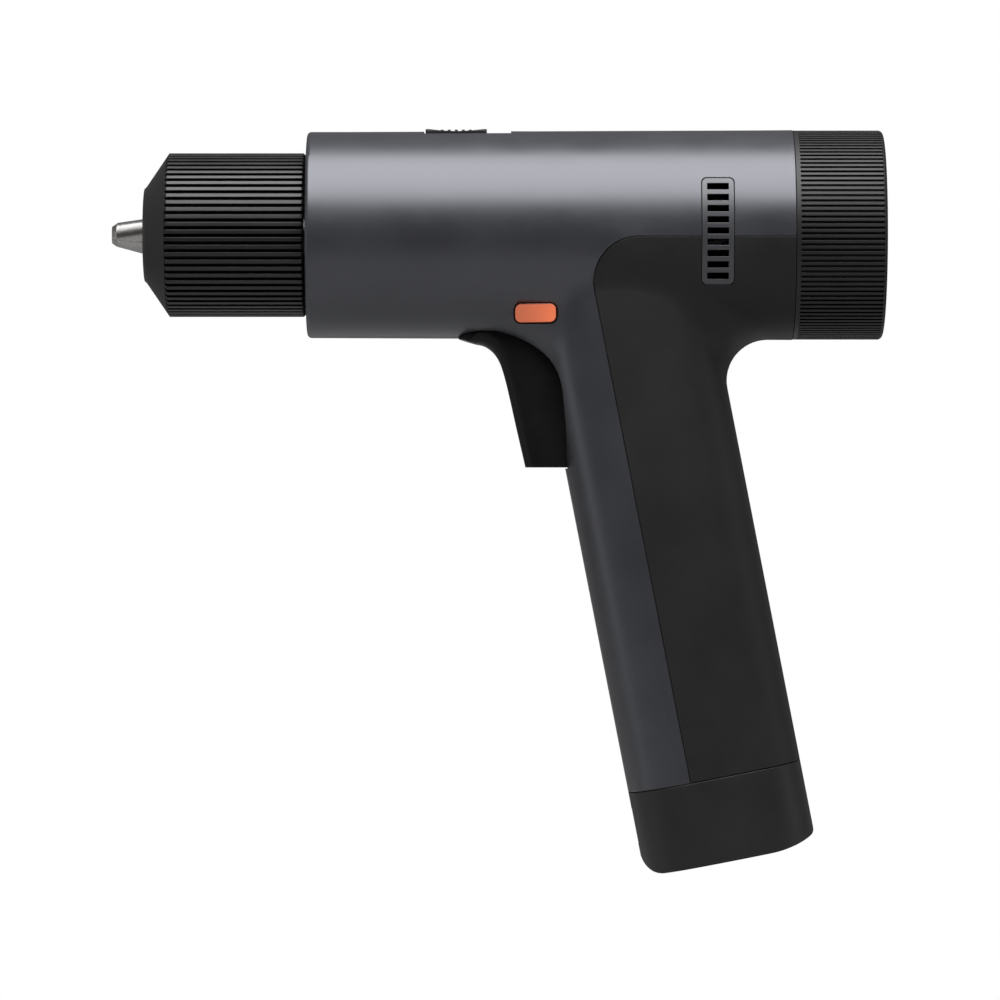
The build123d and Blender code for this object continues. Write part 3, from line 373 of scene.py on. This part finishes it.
# Lengths are in metres, apart from the camera's sensor.
VIEW_CENTRE = Vector((-83.8, 0.0, -62.5)) * MM
VIEW_WIDTH = 0.236
CAMERA_DISTANCE = 1.45
SENSOR_WIDTH_MM = 36.0
CLIP_START = 0.05

STAGE_X = -0.08
FLOOR_Z = -0.25
FLOOR_RADIUS = 0.7
FLOOR_THICKNESS = 0.01
FLOOR_SIDES = 128
FLOOR_LEVEL = 0.38
FLOOR_ROUGHNESS = 0.8

# Stops of (place, brightness): place 0 is straight behind the drill, and place 1 is where the camera is.
SURROUND_BACK = 1.0
SURROUND = ((0.0045, 1.0), (0.006, 0.14), (0.35, 0.26), (0.65, 0.22))
SURROUND_FRONT = 0.015

OVERHEAD_SIZE = (0.9, 0.9)
OVERHEAD_PLACE = (STAGE_X, 0.31, 0.7)
OVERHEAD_AIM = (STAGE_X, 0.0, 0.0)
OVERHEAD_POWER = 26.0
SIDE_SIZE = (0.3, 0.8)
SIDE_DISTANCE = 0.95
SIDE_FORWARD = 0.06
SIDE_Z = -0.06
SIDE_POWER = 1.2


def area_light(name, size, location, target, power):
    """Rectangular light at one place, facing another."""
    data = bpy.data.lights.new(name, "AREA")
    data.shape = "RECTANGLE"
    data.size, data.size_y = size
    data.energy = power
    light = bpy.data.objects.new(name, data)
    bpy.context.scene.collection.objects.link(light)
    light.location = location
    light.rotation_euler = (Vector(target) - Vector(location)).to_track_quat("-Z", "Y").to_euler()


def camera():
    """Long lens looking straight at the +Y side, framed to show VIEW_WIDTH across."""
    data = bpy.data.cameras.new("camera")
    data.sensor_width = SENSOR_WIDTH_MM
    data.lens = SENSOR_WIDTH_MM * CAMERA_DISTANCE / VIEW_WIDTH
    data.clip_start = CLIP_START
    view = bpy.data.objects.new("camera", data)
    bpy.context.scene.collection.objects.link(view)
    view.location = VIEW_CENTRE + Vector((0, CAMERA_DISTANCE, 0))
    view.rotation_euler = (math.radians(90), 0, math.radians(180))
    bpy.context.scene.camera = view


def floor_disc():
    """Pale round floor below the tool."""
    centre = (STAGE_X, 0, FLOOR_Z - FLOOR_THICKNESS / 2)
    bpy.ops.mesh.primitive_cylinder_add(
        vertices=FLOOR_SIDES, radius=FLOOR_RADIUS, depth=FLOOR_THICKNESS, location=centre)
    disc = bpy.context.object
    disc.name = "floor"
    s = Shader("floor_paper")
    s.set(Base_Color=(FLOOR_LEVEL, FLOOR_LEVEL, FLOOR_LEVEL, 1.0), Roughness=FLOOR_ROUGHNESS)
    disc.data.materials.append(s.material)


def grey(level):
    return (level, level, level, 1)


def world():
    """Soft studio surround: white straight behind the tool, mid grey around it, dark behind the camera."""
    scene_world = bpy.data.worlds.new("world")
    scene_world.use_nodes = True
    tree = scene_world.node_tree
    coords = tree.nodes.new("ShaderNodeTexCoord")
    split = tree.nodes.new("ShaderNodeSeparateXYZ")
    spread = tree.nodes.new("ShaderNodeMapRange")
    ramp = tree.nodes.new("ShaderNodeValToRGB")
    spread.inputs["From Min"].default_value = -1.0
    tree.links.new(coords.outputs["Generated"], split.inputs[0])
    tree.links.new(split.outputs["Y"], spread.inputs["Value"])
    tree.links.new(spread.outputs["Result"], ramp.inputs["Fac"])
    stops = ramp.color_ramp.elements
    stops[0].position = 0.0
    stops[0].color = grey(SURROUND_BACK)
    stops[1].position = 1.0
    stops[1].color = grey(SURROUND_FRONT)
    for position, level in SURROUND:
        stops.new(position).color = grey(level)
    background = tree.nodes["Background"]
    tree.links.new(ramp.outputs["Color"], background.inputs["Color"])
    background.inputs["Strength"].default_value = 1.0
    bpy.context.scene.world = scene_world


camera()
floor_disc()
world()
area_light("overhead", OVERHEAD_SIZE, OVERHEAD_PLACE, OVERHEAD_AIM, OVERHEAD_POWER)
for side in (-1, 1):
    side_place = (STAGE_X + side * SIDE_DISTANCE, SIDE_FORWARD, SIDE_Z)
    area_light("side", SIDE_SIZE, side_place, (STAGE_X, 0.0, SIDE_Z), SIDE_POWER)
bpy.context.scene.view_settings.view_transform = "Standard"
